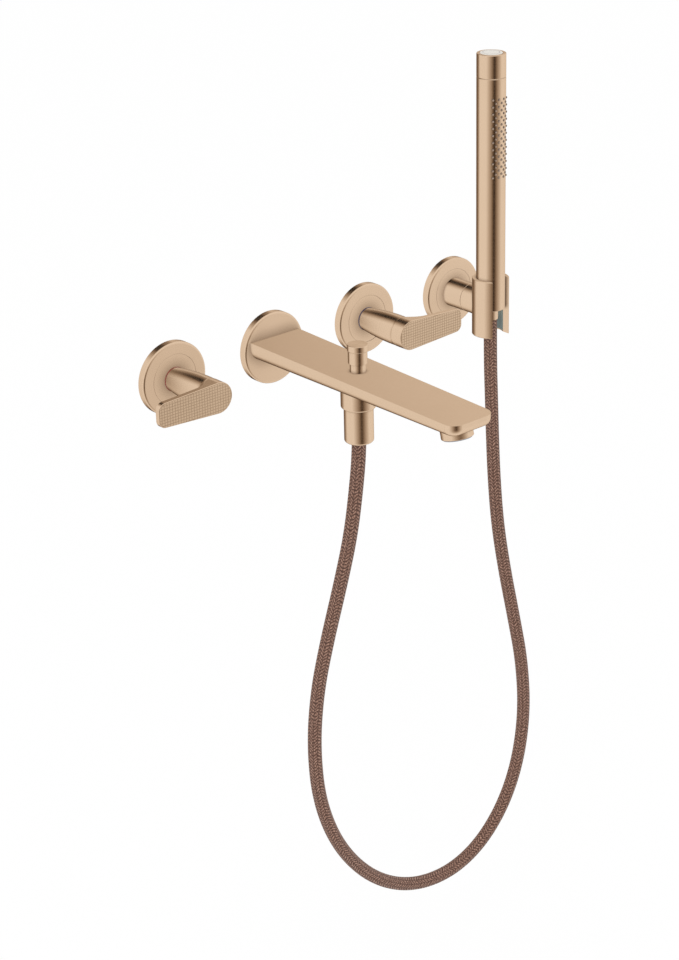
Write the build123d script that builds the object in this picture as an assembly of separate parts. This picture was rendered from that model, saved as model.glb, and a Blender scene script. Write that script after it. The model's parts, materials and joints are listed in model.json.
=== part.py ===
from build123d import *
import os
from math import cos, radians, tan

# A wall mounted bath faucet, in millimetres: two lever valves, a spout with a pull diverter, and a
# hand shower that stands in a wall holder at the end of a hose.
# The wall is the plane Y = 0, the room lies towards -Y, and Z is up. The origin is the centre of
# the spout's rosette on the wall. A piece turned about a wall station's axis is drawn along Z,
# measured out from the wall, and at_station stands it on the wall.

# Clearances
SEAT_GAP = 0.1
RUNNING_GAP = 0.08
TURNING_GAP = 0.3

# Stations along the wall
STATION_PITCH = 107.5
HOT_X = -STATION_PITCH
COLD_X = STATION_PITCH
HOLDER_X = 2 * STATION_PITCH

# Rosettes
ROSETTE_RADIUS = 32.5
ROSETTE_DEPTH = 7.2
ROSETTE_RIM_WALL = 2.2
ROSETTE_FRONT_WALL = 4.0
ROSETTE_EDGE = 1.8
INNER_DISC_RADIUS = 22.0
INNER_DISC_DEPTH = 2.4
INNER_DISC_EDGE = 0.25
DISC_LEDGE = 2.0
HUB_RADIUS = 13.0

# Valve headworks
THREAD_RADIUS = 10.48
HEADWORK_BACK = -22.0
HEADWORK_WALL = 1.88
FLANGE_BACK = -4.0
FLANGE_FRONT = 1.0
GLAND_RADIUS = 8.0
GLAND_FRONT = 24.0
CHAMBER_FRONT = -6.0
SPINDLE_RADIUS = 4.5
SPINDLE_FRONT = 41.0
DRIVE_HEAD_DEPTH = 3.2
CERAMIC_DEPTH = 3.0
PORT_RADIUS = 2.0
PORT_RIM = 1.9
RING_WALL = 1.7
RING_WIDTH = 2.0
SPINDLE_RING_OUT = 14.0

# Lever handles
INDEX_RING_DEPTH = 0.9
INDEX_RING_PROUD = 0.3
HANDLE_BASE_GAP = 0.25
HANDLE_BORE_GAP = 0.35
GLAND_END_GAP = 1.0
STEM_BASE_WALL = 2.1
STEM_MIDDLE_SWELL = 2.5
STEM_NECK_SWELL = 3.0
LEVER_FRONT = 67.0
LEVER_THICKNESS = 4.6
LEVER_LIP = 0.2
LEVER_REACH = 60.5
LEVER_TIP_HALF_HEIGHT = 10.8
LEVER_TIP_CORNER = 6.5
LEVER_FLARE = 10.0
LEVER_EDGE = 0.5
SET_SCREW_RADIUS = 2.0
SET_SCREW_LENGTH = 5.5
HANDLE_SCREW_OUT = 33.0

# Spout
SPOUT_LENGTH = 258.0
SPOUT_ROOF = 6.15
SPOUT_FLOOR = 1.75
SPOUT_TOP_FALL = 5.1
SPOUT_ROOT_HALF_WIDTH = 26.8
SPOUT_TIP_HALF_WIDTH = 23.65
SPOUT_TIP_THICKNESS = 10.5
SPOUT_ROOT_TURN = 14.0
SPOUT_TIP_TURN = 6.5
SPOUT_TIP_CORNER = 10.0
CORNER_INSET = 0.05
CHANNEL_HALF_WIDTH = 8.0
CHANNEL_LOW = -2.2
CHANNEL_HIGH = 3.0
SPIGOT_RADIUS = 5.2
SPIGOT_LENGTH = 16.0
SPIGOT_BORE = 3.3
SPIGOT_DIMPLE = 0.9
SHANK_BACK = -22.0
SHANK_SHOULDER_RADIUS = 14.0
SPOUT_RING_INSET = 10.0
SPOUT_RING_WALL = 0.9
SPOUT_SCREW_INSET = 5.3

# Diverter
DIVERTER_OUT = 117.4
DIVERTER_TRAVEL = 6.0
DIVERTER_STOP_GAP = 1.3
SPOT_FACE = 0.3
BUSH_SHANK_RADIUS = 5.0
BUSH_SHOULDER = 1.77
BUSH_HEIGHT = 7.5
GRIP_RADIUS = 8.23
GRIP_GAP = 0.2
GRIP_HEIGHT = 11.0
DIVERTER_CAP_LIP = 0.7
DIVERTER_CAP_HEIGHT = 5.6
DIVERTER_CAP_EDGE = 0.5
DIVERTER_CAP_SOCKET = 2.5
STEM_RADIUS = 2.6
STEM_RING_WALL = 1.6
STEM_RING_INSET = 4.7
DIVERTER_CHAMBER_RADIUS = 8.6
DIVERTER_FLOOR = 2.1
DIVERTER_SEAL_GAP = 1.0
DIVERTER_SEAL_DEPTH = 2.4

# Aerator
AERATOR_SETBACK = 22.2
AERATOR_TILT = 14.0
AERATOR_RADIUS = 13.5
AERATOR_WALL = 2.1
AERATOR_DROP = 9.9
AERATOR_SEAT = 3.0
AERATOR_EDGE = 0.8
AERATOR_LIP = 0.7
AERATOR_LIP_DEPTH = 0.8
AERATOR_SEAL_DEPTH = 5.0
AERATOR_SEAL_WALL = 2.5
AERATOR_CELL = 1.5
AERATOR_CELL_PITCH = 3.6
AERATOR_CELL_ROWS = 5

# Hose outlet under the spout
COLLAR_STEP = 2.44
COLLAR_HEIGHT = 17.4
COLLAR_EDGE = 1.6
COLLAR_SPIGOT_RADIUS = 8.0
COLLAR_BORE = 5.0
NIPPLE_LENGTH = 11.0
NIPPLE_WALL = 3.58
CHECK_VALVE_LENGTH = 16.0
CHECK_VALVE_BORE = 4.0
NUT_WALL = 2.03
NUT_GAP = 0.3
NUT_LENGTH = 30.8
NUT_EDGE = 2.0
NUT_BORE_GAP = 0.15
WASHER_DEPTH = 2.0
WASHER_BORE = 6.0
TAIL_DEPTH = 5.0

# Hose
HOSE_RADIUS = 6.2
HOSE_NUT_GAP = 0.4
ARC_SHARE = 0.45
HOSE_MIDDLE = [
    (0, -117.4, -62),
    (-4, -116.8, -98),
    (-8.5, -113.5, -142),
    (-16.5, -107, -190.5),
    (-26, -100, -240.5),
    (-34, -93.5, -292.5),
    (-36, -89, -350),
    (-29.5, -87.5, -411),
    (-7, -87, -468.5),
    (31, -87, -517.5),
    (77, -87, -548.5),
    (125.5, -87, -558.5),
    (168.5, -86.5, -548.5),
    (203, -86, -519.5),
    (226.5, -84.5, -478.5),
    (238.5, -82, -426),
    (238, -78.5, -371),
    (230.5, -74, -320),
    (222.5, -69.5, -270),
    (217, -65, -221),
    (215.8, -61.2, -174),
    (216, -58.6, -132),
    (216, -57, -92),
    (215, -56.3, -52),
]

# Hand shower
HANDSET_RADIUS = 13.3
HANDSET_WALL = 1.3
HANDSET_BOTTOM = -3.0
HANDSET_TUBE_LENGTH = 217.0
HANDSET_EDGE = 0.6
SEAM_GROOVE = 0.45
HEAD_HEIGHT = 21.3
HEAD_WALL = 2.8
HEAD_PLUG_LENGTH = 10.0
CONNECTOR_LENGTH = 25.0
FERRULE_WALL = 0.8
FERRULE_LENGTH = 10.4
FERRULE_SHANK = 11.0
FERRULE_FLANGE = 1.6
FERRULE_FLANGE_DEPTH = 2.0
WATERWAY_BORE = 4.4
WATERWAY_WALL = 1.6
MAT_DEPTH = 1.2
MAT_MARGIN = 4.0
NOZZLE_COLUMNS = 7
NOZZLE_ROWS = 12
NOZZLE_ANGLE = 12.5
NOZZLE_PITCH = 6.49
NOZZLE_TOP_MARGIN = 18.6
NOZZLE_RADIUS = 1.25
NOZZLE_PROUD = 0.9
NOZZLE_TAPER = 6.0
NOZZLE_GAP = 0.06
BUTTON_PROUD = 0.5
BUTTON_SKIRT = 6.0
BUTTON_WALL = 1.6
BUTTON_TRAVEL = 2.5
BUTTON_EDGE = 0.6
BUTTON_FLOOR_GAP = 1.0
SPRING_GAP = 0.8
SPRING_WALL = 1.2
SELECTOR_RADIUS = 3.0
SELECTOR_REACH = 2.0

# Hand shower holder
HOLDER_OUT = 56.3
HOLDER_TOP = 26.5
HOLDER_BOTTOM = -27.8
HANDSET_SLIDE_GAP = 0.4
REST_GAP = 0.1
LINER_WALL = 0.9
LINER_RISE = 0.3
LINER_INSET = 1.4
LEDGE_WIDTH = 1.3
SHELL_WALL = 3.35
SHELL_EDGE = 0.4
SLOT_HALF_WIDTH = 10.45
ARM_RADIUS = 13.5
ARM_SEAM = 0.15
ARM_EDGE = 0.2
STUB_LENGTH = 9.35
STUD_RADIUS = 4.0
ANCHOR_RADIUS = 5.0
ANCHOR_BACK = -25.0
STUD_REACH = 4.4
ARM_SCREW_INSET = 5.6

# Sizes and places that follow from those above
CHAMBER_RADIUS = THREAD_RADIUS - HEADWORK_WALL
DISC_RADIUS = CHAMBER_RADIUS - TURNING_GAP
DRIVE_HEAD_FRONT = CHAMBER_FRONT - TURNING_GAP
MOVING_DISC_FRONT = DRIVE_HEAD_FRONT - DRIVE_HEAD_DEPTH
FIXED_DISC_FRONT = MOVING_DISC_FRONT - CERAMIC_DEPTH
SEAT_SEAL_FRONT = FIXED_DISC_FRONT - CERAMIC_DEPTH
SPINDLE_BORE = SPINDLE_RADIUS + RUNNING_GAP
HANDLE_BASE = ROSETTE_DEPTH + INDEX_RING_DEPTH + HANDLE_BASE_GAP
HANDLE_BORE = GLAND_RADIUS + HANDLE_BORE_GAP
STEM_BASE_RADIUS = HANDLE_BORE + STEM_BASE_WALL
STEM_NECK_RADIUS = STEM_BASE_RADIUS + STEM_NECK_SWELL
LEVER_ROUND_RADIUS = STEM_NECK_RADIUS + LEVER_LIP
LEVER_BACK = LEVER_FRONT - LEVER_THICKNESS

SPIGOT_HOLE = SPIGOT_RADIUS + SEAT_GAP
SPIGOT_FRONT = ROSETTE_DEPTH + SPIGOT_LENGTH
SPOUT_TOP = SPIGOT_HOLE + SPOUT_ROOF
SPOUT_ROOT_THICKNESS = SPOUT_TOP + SPIGOT_HOLE + SPOUT_FLOOR
SPOUT_RING_OUT = ROSETTE_DEPTH + SPOUT_RING_INSET
SPOUT_SCREW_OUT = ROSETTE_DEPTH + SPOUT_SCREW_INSET
AERATOR_OUT = SPOUT_LENGTH - AERATOR_SETBACK
AERATOR_BORE = AERATOR_RADIUS - AERATOR_WALL
BUSH_RADIUS = BUSH_SHANK_RADIUS + BUSH_SHOULDER
STEM_BORE = STEM_RADIUS + RUNNING_GAP
NUT_BORE = THREAD_RADIUS + NUT_BORE_GAP
NUT_RADIUS = NUT_BORE + NUT_WALL
COLLAR_RADIUS = NUT_RADIUS + COLLAR_STEP
CHECK_VALVE_SEAT = THREAD_RADIUS - NIPPLE_WALL

HANDSET_BORE = HANDSET_RADIUS - HANDSET_WALL
HANDSET_SEAM = HANDSET_BOTTOM + HANDSET_TUBE_LENGTH
HANDSET_TOP = HANDSET_SEAM + HEAD_HEIGHT
HEAD_PLUG_BOTTOM = HANDSET_SEAM - HEAD_PLUG_LENGTH
PLUG_RADIUS = HANDSET_BORE - SEAT_GAP
NOZZLE_LOW = HANDSET_SEAM - NOZZLE_TOP_MARGIN - (NOZZLE_ROWS - 1) * NOZZLE_PITCH
FERRULE_RADIUS = HOSE_RADIUS + FERRULE_WALL
FERRULE_BOTTOM = HANDSET_BOTTOM - FERRULE_LENGTH
FLANGE_RADIUS = FERRULE_RADIUS + FERRULE_FLANGE
FLANGE_LOW = HANDSET_BOTTOM + FERRULE_SHANK
FLANGE_HIGH = FLANGE_LOW + FERRULE_FLANGE_DEPTH
WELL_RADIUS = HANDSET_RADIUS - HEAD_WALL
BUTTON_RADIUS = WELL_RADIUS - TURNING_GAP
BUTTON_TOP = HANDSET_TOP + BUTTON_PROUD
BUTTON_BOTTOM = BUTTON_TOP - BUTTON_SKIRT
BUTTON_INSIDE = BUTTON_TOP - BUTTON_WALL
WELL_FLOOR = BUTTON_BOTTOM - BUTTON_TRAVEL - BUTTON_FLOOR_GAP

LINER_TOP = HANDSET_BOTTOM - REST_GAP
LEDGE_TOP = LINER_TOP - LINER_RISE
LEDGE_BORE = HANDSET_RADIUS - LEDGE_WIDTH
LINER_RADIUS = LEDGE_BORE - SEAT_GAP
SHELL_BORE = HANDSET_RADIUS + HANDSET_SLIDE_GAP
SHELL_RADIUS = SHELL_BORE + SHELL_WALL
ARM_FRONT = HOLDER_OUT - SHELL_RADIUS - STUB_LENGTH
STUD_FRONT = ARM_FRONT + STUD_REACH
STUD_HOLE = STUD_RADIUS + SEAT_GAP
ARM_SCREW_OUT = ARM_FRONT - ARM_SCREW_INSET

ON_FLOOR = (Align.CENTER, Align.CENTER, Align.MIN)


def rod(radius, low, high):
    """A round bar on the Z axis between two heights."""
    return Pos(0, 0, low) * Cylinder(radius, high - low, align=ON_FLOOR)


def tube(radius, bore, low, high):
    """A round tube on the Z axis between two heights."""
    return rod(radius, low, high) - rod(bore, low, high)


def end_edges(part, top):
    """The edges at the highest or lowest level of a part."""
    return part.edges().group_by(Axis.Z)[-1 if top else 0]


def at_station(x, part):
    """Stands a part that is drawn along Z on the wall, with Z pointing out into the room."""
    return Pos(x, 0, 0) * Rot(90, 0, 0) * part


def set_screw(out, inner_end, outer_end):
    """A grub screw that points up at a station's axis from below, or the hole of one."""
    return Pos(0, 0, out) * Rot(90, 0, 0) * rod(SET_SCREW_RADIUS, inner_end, outer_end)


def save(name, part):
    export_step(part, f"parts/{name}.step")


# Rosettes and their inner discs


def rosette(opening):
    """A cup that rests on the wall by its rim, with a round opening in its front."""
    cup = rod(ROSETTE_RADIUS, 0, ROSETTE_DEPTH)
    cup = fillet(end_edges(cup, top=True), ROSETTE_EDGE)
    cup -= rod(ROSETTE_RADIUS - ROSETTE_RIM_WALL, 0, ROSETTE_DEPTH - ROSETTE_FRONT_WALL)
    return cup - rod(opening, 0, ROSETTE_DEPTH)


def stepped_rosette():
    """A rosette whose opening has a ledge that the inner disc clamps to the wall."""
    seat = rod(INNER_DISC_RADIUS + SEAT_GAP, ROSETTE_DEPTH - INNER_DISC_DEPTH, ROSETTE_DEPTH)
    return rosette(INNER_DISC_RADIUS - DISC_LEDGE) - seat


def inner_disc(bore, hub_back):
    """The disc that lies flush in a rosette, with a hub behind it."""
    disc = rod(INNER_DISC_RADIUS, ROSETTE_DEPTH - INNER_DISC_DEPTH, ROSETTE_DEPTH)
    disc = chamfer(end_edges(disc, top=True), INNER_DISC_EDGE)
    disc += rod(HUB_RADIUS, hub_back, ROSETTE_DEPTH - INNER_DISC_DEPTH)
    return disc - rod(bore, hub_back, ROSETTE_DEPTH)


# Valves


def headwork():
    """The brass valve body: a threaded back, a flange and a gland that the spindle turns in."""
    body = rod(THREAD_RADIUS, HEADWORK_BACK, FLANGE_BACK)
    body += rod(HUB_RADIUS, FLANGE_BACK, FLANGE_FRONT)
    body += rod(GLAND_RADIUS, FLANGE_FRONT, GLAND_FRONT)
    body -= rod(CHAMBER_RADIUS, HEADWORK_BACK, CHAMBER_FRONT)
    body -= rod(SPINDLE_BORE, CHAMBER_FRONT, GLAND_FRONT)
    return body - rod(SPINDLE_BORE + RING_WALL, SPINDLE_RING_OUT, SPINDLE_RING_OUT + RING_WIDTH)


def spindle():
    """The shaft with the drive head that turns the moving ceramic disc."""
    shaft = rod(SPINDLE_RADIUS, DRIVE_HEAD_FRONT, SPINDLE_FRONT)
    return shaft + rod(DISC_RADIUS, MOVING_DISC_FRONT, DRIVE_HEAD_FRONT)


def ceramic_disc(radius, front, ports_at):
    """A ceramic disc with two ports opposite each other."""
    disc = rod(radius, front - CERAMIC_DEPTH, front)
    port = Pos(DISC_RADIUS - PORT_RIM - PORT_RADIUS, 0, 0) * rod(PORT_RADIUS, front - CERAMIC_DEPTH, front)
    for angle in (ports_at, ports_at + 180):
        disc -= Rot(0, 0, angle) * port
    return disc


def spindle_ring():
    """The sealing ring in the gland's groove."""
    radius = SPINDLE_BORE + RING_WALL - SEAT_GAP
    return tube(radius, SPINDLE_BORE, SPINDLE_RING_OUT, SPINDLE_RING_OUT + RING_WIDTH)


def lever_outline():
    """The lever seen from the front: round about the stem, tapering to two small corners."""
    corner_x = LEVER_REACH - LEVER_TIP_CORNER
    corner_y = LEVER_TIP_HALF_HEIGHT - LEVER_TIP_CORNER
    rounds = [Circle(LEVER_ROUND_RADIUS)]
    for y in (-corner_y, corner_y):
        rounds.append(Pos(corner_x, y) * Circle(LEVER_TIP_CORNER))
    return make_hull([edge for round_end in rounds for edge in round_end.edges()])


def stem_profile():
    """Half the stem's section: it swells away from the wall and flares into the lever's back."""
    neck = LEVER_BACK - LEVER_FLARE
    flare_end = STEM_NECK_RADIUS + LEVER_FLARE
    middle = (HANDLE_BASE + neck) / 2
    flare_sag = LEVER_FLARE * (1 - cos(radians(45)))
    swell = ThreePointArc(
        (STEM_BASE_RADIUS, 0, HANDLE_BASE),
        (STEM_BASE_RADIUS + STEM_MIDDLE_SWELL, 0, middle),
        (STEM_NECK_RADIUS, 0, neck),
    )
    flare = ThreePointArc(
        (STEM_NECK_RADIUS, 0, neck),
        (STEM_NECK_RADIUS + flare_sag, 0, LEVER_BACK - flare_sag),
        (flare_end, 0, LEVER_BACK),
    )
    rest = Polyline(
        (flare_end, 0, LEVER_BACK),
        (0, 0, LEVER_BACK),
        (0, 0, HANDLE_BASE),
        (STEM_BASE_RADIUS, 0, HANDLE_BASE),
    )
    return make_face(swell + flare + rest)


def handle():
    """The lever handle with its lever towards +X."""
    outline = lever_outline()
    stem = revolve(stem_profile(), Axis.Z)
    stem &= extrude(outline, LEVER_FRONT)
    plate = Pos(0, 0, LEVER_BACK) * extrude(outline, LEVER_THICKNESS)
    plate = fillet(end_edges(plate, top=True), LEVER_EDGE)
    lever = stem + plate
    lever -= rod(HANDLE_BORE, HANDLE_BASE, GLAND_FRONT + GLAND_END_GAP)
    lever -= rod(SPINDLE_RADIUS + SEAT_GAP, GLAND_FRONT, SPINDLE_FRONT)
    return lever - set_screw(HANDLE_SCREW_OUT, 0, LEVER_ROUND_RADIUS)


def valve_parts():
    """The pieces of one valve, drawn along Z, by name."""
    ring_radius = STEM_BASE_RADIUS + INDEX_RING_PROUD
    gland_bore = GLAND_RADIUS + SEAT_GAP
    fixed_radius = CHAMBER_RADIUS - SEAT_GAP
    seal_bore = DISC_RADIUS - PORT_RIM
    screw_end = SPINDLE_RADIUS + SET_SCREW_LENGTH
    return {
        "escutcheon": stepped_rosette(),
        "inner_disc": inner_disc(gland_bore, FLANGE_FRONT),
        "index_ring": tube(ring_radius, gland_bore, ROSETTE_DEPTH, ROSETTE_DEPTH + INDEX_RING_DEPTH),
        "headwork": headwork(),
        "spindle": spindle(),
        "spindle_ring": spindle_ring(),
        "moving_disc": ceramic_disc(DISC_RADIUS, MOVING_DISC_FRONT, 90),
        "fixed_disc": ceramic_disc(fixed_radius, FIXED_DISC_FRONT, 0),
        "seat_seal": tube(fixed_radius, seal_bore, HEADWORK_BACK, SEAT_SEAL_FRONT),
        "handle": handle(),
        "handle_screw": set_screw(HANDLE_SCREW_OUT, SPINDLE_RADIUS, screw_end),
    }


def save_valves():
    """Both valves. The hot one is the cold one mirrored, so its lever points the other way."""
    for name, part in valve_parts().items():
        save(f"cold_{name}", at_station(COLD_X, part))
        save(f"hot_{name}", at_station(HOT_X, mirror(part, about=Plane.YZ)))


# Spout


def along_spout(root, tip, out):
    """A size that changes evenly from the spout's root to its tip, at a distance from the wall."""
    return root + (tip - root) * (out - ROSETTE_DEPTH) / (SPOUT_LENGTH - ROSETTE_DEPTH)


def spout_top(out):
    return along_spout(SPOUT_TOP, SPOUT_TOP - SPOUT_TOP_FALL, out)


def spout_bottom(out):
    return spout_top(out) - along_spout(SPOUT_ROOT_THICKNESS, SPOUT_TIP_THICKNESS, out)


def spout_section(out):
    """The spout's section: a flat top, short upright sides and an underside that turns in."""
    half = along_spout(SPOUT_ROOT_HALF_WIDTH, SPOUT_TIP_HALF_WIDTH, out)
    turn = along_spout(SPOUT_ROOT_TURN, SPOUT_TIP_TURN, out)
    top, bottom = spout_top(out), spout_bottom(out)
    side = bottom + turn
    reach = half - turn
    diagonal = turn * cos(radians(45))
    right = ThreePointArc((half, side), (reach + diagonal, side - diagonal), (reach, bottom))
    left = ThreePointArc((-reach, bottom), (-reach - diagonal, side - diagonal), (-half, side))
    outline = Polyline((-half, side), (-half, top), (half, top), (half, side)) + right
    outline += Line((reach, bottom), (-reach, bottom)) + left
    return Plane.XZ.offset(out) * make_face(outline)


def tip_corner_cutter(side):
    """What the rounded corner of the tip takes away on one side, seen from above."""
    out = SPOUT_LENGTH - SPOUT_TIP_CORNER
    half = along_spout(SPOUT_ROOT_HALF_WIDTH, SPOUT_TIP_HALF_WIDTH, out) - CORNER_INSET
    tall = 4 * SPOUT_ROOT_THICKNESS
    align = (Align.MIN if side > 0 else Align.MAX, Align.MAX, Align.CENTER)
    block = Box(2 * SPOUT_TIP_CORNER, 2 * SPOUT_TIP_CORNER, tall, align=align)
    block -= Cylinder(SPOUT_TIP_CORNER, tall)
    return Pos(side * (half - SPOUT_TIP_CORNER), -out, 0) * block


def tip_turn():
    """The underside's turn where the tip's rounded corners begin."""
    return along_spout(SPOUT_ROOT_TURN, SPOUT_TIP_TURN, SPOUT_LENGTH - SPOUT_TIP_CORNER)


def tip_floor():
    return spout_bottom(SPOUT_LENGTH - SPOUT_TIP_CORNER) + CORNER_INSET


def tip_under_cutter():
    """What the underside's turn takes away across the front of the tip."""
    turn = tip_turn()
    wide = 4 * SPOUT_TIP_HALF_WIDTH
    block = Box(wide, 2 * turn, 2 * turn, align=(Align.CENTER, Align.MAX, Align.MAX))
    block -= Rot(0, 90, 0) * Cylinder(turn, wide)
    return Pos(0, turn - SPOUT_LENGTH, tip_floor() + turn) * block


def corner_under_cutter(side):
    """What the underside's turn takes away below one rounded corner of the tip."""
    turn, low = tip_turn(), tip_floor()
    out = SPOUT_LENGTH - SPOUT_TIP_CORNER
    half = along_spout(SPOUT_ROOT_HALF_WIDTH, SPOUT_TIP_HALF_WIDTH, out) - CORNER_INSET
    inner, outer = SPOUT_TIP_CORNER - turn, 2 * SPOUT_TIP_CORNER
    diagonal = turn * cos(radians(45))
    start, end = (inner, low), (SPOUT_TIP_CORNER, low + turn)
    outline = ThreePointArc(start, (inner + diagonal, low + turn - diagonal), end)
    outline += Polyline(end, (outer, low + turn), (outer, low - turn), (inner, low - turn), start)
    ring = revolve(Plane.XZ * make_face(outline), Axis.Z, 90)
    return Pos(side * (half - SPOUT_TIP_CORNER), -out, 0) * Rot(0, 0, -90 if side > 0 else 180) * ring


def at_diverter(part):
    return Pos(0, -DIVERTER_OUT, 0) * part


def at_aerator(part):
    """Sets a part drawn below Z = 0 under the tip, tilted so that it points down and outwards."""
    return Pos(0, -AERATOR_OUT, spout_bottom(AERATOR_OUT)) * Rot(-AERATOR_TILT, 0, 0) * part


def spout_channel():
    """The waterway from the wall spigot past the diverter to the aerator."""
    length = AERATOR_OUT - SPIGOT_FRONT
    height = CHANNEL_HIGH - CHANNEL_LOW
    align = (Align.CENTER, Align.MAX, Align.MIN)
    return Pos(0, -SPIGOT_FRONT, CHANNEL_LOW) * Box(2 * CHANNEL_HALF_WIDTH, length, height, align=align)


def bush_seat():
    return spout_top(DIVERTER_OUT) - SPOT_FACE


def collar_seat():
    return spout_bottom(DIVERTER_OUT) + SPOT_FACE


def chamber_low():
    return collar_seat() + DIVERTER_FLOOR


def stem_low():
    return chamber_low() + TURNING_GAP


def chamber_high():
    """The chamber's roof leaves room for the seal's whole travel."""
    return stem_low() + DIVERTER_SEAL_DEPTH + DIVERTER_TRAVEL + DIVERTER_STOP_GAP


def diverter_bores():
    """The diverter's chamber, the threaded holes above and below it, and their spot faces."""
    bores = rod(DIVERTER_CHAMBER_RADIUS, chamber_low(), chamber_high())
    bores += rod(BUSH_SHANK_RADIUS + SEAT_GAP, chamber_high(), bush_seat())
    bores += rod(BUSH_RADIUS + SEAT_GAP, bush_seat(), SPOUT_TOP)
    bores += rod(COLLAR_SPIGOT_RADIUS + SEAT_GAP, collar_seat(), chamber_low())
    bores += rod(COLLAR_RADIUS + SEAT_GAP, collar_seat() - COLLAR_HEIGHT, collar_seat())
    return at_diverter(bores)


def spout_body():
    body = loft([spout_section(ROSETTE_DEPTH), spout_section(SPOUT_LENGTH)], ruled=True)
    for side in (-1, 1):
        body -= tip_corner_cutter(side)
        body -= corner_under_cutter(side)
    body -= tip_under_cutter()
    body -= at_station(0, rod(SPIGOT_HOLE, ROSETTE_DEPTH, SPIGOT_FRONT))
    body -= spout_channel()
    body -= diverter_bores()
    body -= at_aerator(rod(AERATOR_RADIUS + SEAT_GAP, -AERATOR_DROP, AERATOR_SEAT))
    return body - at_station(0, set_screw(SPOUT_SCREW_OUT, 0, SPOUT_ROOT_THICKNESS))


def spout_shank():
    """The threaded nipple in the wall, with the spigot that the spout slides on."""
    shank = rod(THREAD_RADIUS, SHANK_BACK, 0)
    shank += rod(SHANK_SHOULDER_RADIUS, 0, ROSETTE_DEPTH - ROSETTE_FRONT_WALL)
    shank += rod(SPIGOT_RADIUS, 0, SPIGOT_FRONT)
    shank -= rod(SPIGOT_BORE, SHANK_BACK, SPIGOT_FRONT)
    groove_radius = SPIGOT_RADIUS - SPOUT_RING_WALL
    shank -= tube(SPIGOT_HOLE, groove_radius, SPOUT_RING_OUT, SPOUT_RING_OUT + RING_WIDTH)
    return shank - set_screw(SPOUT_SCREW_OUT, SPIGOT_RADIUS - SPIGOT_DIMPLE, SPIGOT_HOLE)


def spout_ring():
    bore = SPIGOT_RADIUS - SPOUT_RING_WALL + SEAT_GAP
    return tube(SPIGOT_RADIUS, bore, SPOUT_RING_OUT, SPOUT_RING_OUT + RING_WIDTH)


def spout_screw():
    """The grub screw that holds the spout on its spigot from below."""
    inner_end = SPIGOT_RADIUS - SPIGOT_DIMPLE
    return set_screw(SPOUT_SCREW_OUT, inner_end, -spout_bottom(SPOUT_SCREW_OUT) - SPOT_FACE)


def save_spout():
    save("spout_escutcheon", at_station(0, rosette(SPIGOT_HOLE)))
    save("spout_shank", at_station(0, spout_shank()))
    save("spout_ring", at_station(0, spout_ring()))
    save("spout_screw", at_station(0, spout_screw()))
    save("spout_body", spout_body())


# Diverter


def bush_top():
    return spout_top(DIVERTER_OUT) + BUSH_HEIGHT


def stem_ring_low():
    return bush_top() - STEM_RING_INSET


def diverter_bush():
    """The fixed neck on top of the spout, with the groove of the stem's ring."""
    bush = rod(BUSH_RADIUS, bush_seat(), bush_top())
    bush += rod(BUSH_SHANK_RADIUS, chamber_high(), bush_seat())
    bush -= rod(STEM_BORE, chamber_high(), bush_top())
    return bush - rod(STEM_BORE + STEM_RING_WALL, stem_ring_low(), stem_ring_low() + RING_WIDTH)


def diverter_parts():
    """The pieces on the diverter's axis, by name. The stem, seal, grip and cap are pulled up."""
    hub_bore = STEM_RADIUS + SEAT_GAP
    ring_radius = STEM_BORE + STEM_RING_WALL - SEAT_GAP
    seal_radius = DIVERTER_CHAMBER_RADIUS - DIVERTER_SEAL_GAP
    grip_top = bush_top() + GRIP_HEIGHT
    stem_top = grip_top + DIVERTER_CAP_SOCKET
    cap = rod(GRIP_RADIUS + DIVERTER_CAP_LIP, grip_top, grip_top + DIVERTER_CAP_HEIGHT)
    cap = fillet(end_edges(cap, top=True), DIVERTER_CAP_EDGE)
    cap = chamfer(end_edges(cap, top=False), SEAM_GROOVE)
    return {
        "diverter_bush": diverter_bush(),
        "diverter_ring": tube(ring_radius, STEM_BORE, stem_ring_low(), stem_ring_low() + RING_WIDTH),
        "diverter_stem": rod(STEM_RADIUS, stem_low(), stem_top),
        "diverter_seal": tube(seal_radius, hub_bore, stem_low(), stem_low() + DIVERTER_SEAL_DEPTH),
        "diverter_grip": tube(GRIP_RADIUS, hub_bore, bush_top() + GRIP_GAP, grip_top),
        "diverter_cap": cap - rod(hub_bore, grip_top, stem_top),
    }


# Aerator


def aerator_housing():
    housing = rod(AERATOR_RADIUS, -AERATOR_DROP, AERATOR_SEAT)
    housing = fillet(end_edges(housing, top=False), AERATOR_EDGE)
    return housing - rod(AERATOR_BORE, -AERATOR_DROP, AERATOR_SEAT)


def aerator_insert():
    """The plastic insert: a lip below the housing and a grid of hexagonal cells."""
    radius = AERATOR_BORE - SEAT_GAP
    bottom = -AERATOR_DROP - AERATOR_LIP_DEPTH
    top = AERATOR_SEAT - AERATOR_SEAL_DEPTH
    insert = rod(radius, -AERATOR_DROP, top)
    insert += rod(radius + AERATOR_LIP, bottom, -AERATOR_DROP)
    cell = extrude(RegularPolygon(AERATOR_CELL, 6), top - bottom)
    rows = AERATOR_CELL_ROWS
    for spot in HexLocations(AERATOR_CELL_PITCH / 2, rows, rows, major_radius=False):
        if spot.position.length < radius - 2 * AERATOR_CELL:
            insert -= Pos(0, 0, bottom) * spot * cell
    return insert


def aerator_seal():
    """The rubber ring between the insert and the spout."""
    radius = AERATOR_BORE - SEAT_GAP
    return tube(radius, radius - AERATOR_SEAL_WALL, AERATOR_SEAT - AERATOR_SEAL_DEPTH, AERATOR_SEAT)


def save_spout_fittings():
    for name, part in diverter_parts().items():
        save(name, at_diverter(part))
    save("aerator_housing", at_aerator(aerator_housing()))
    save("aerator_insert", at_aerator(aerator_insert()))
    save("aerator_seal", at_aerator(aerator_seal()))


# Hose outlet and hose


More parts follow.
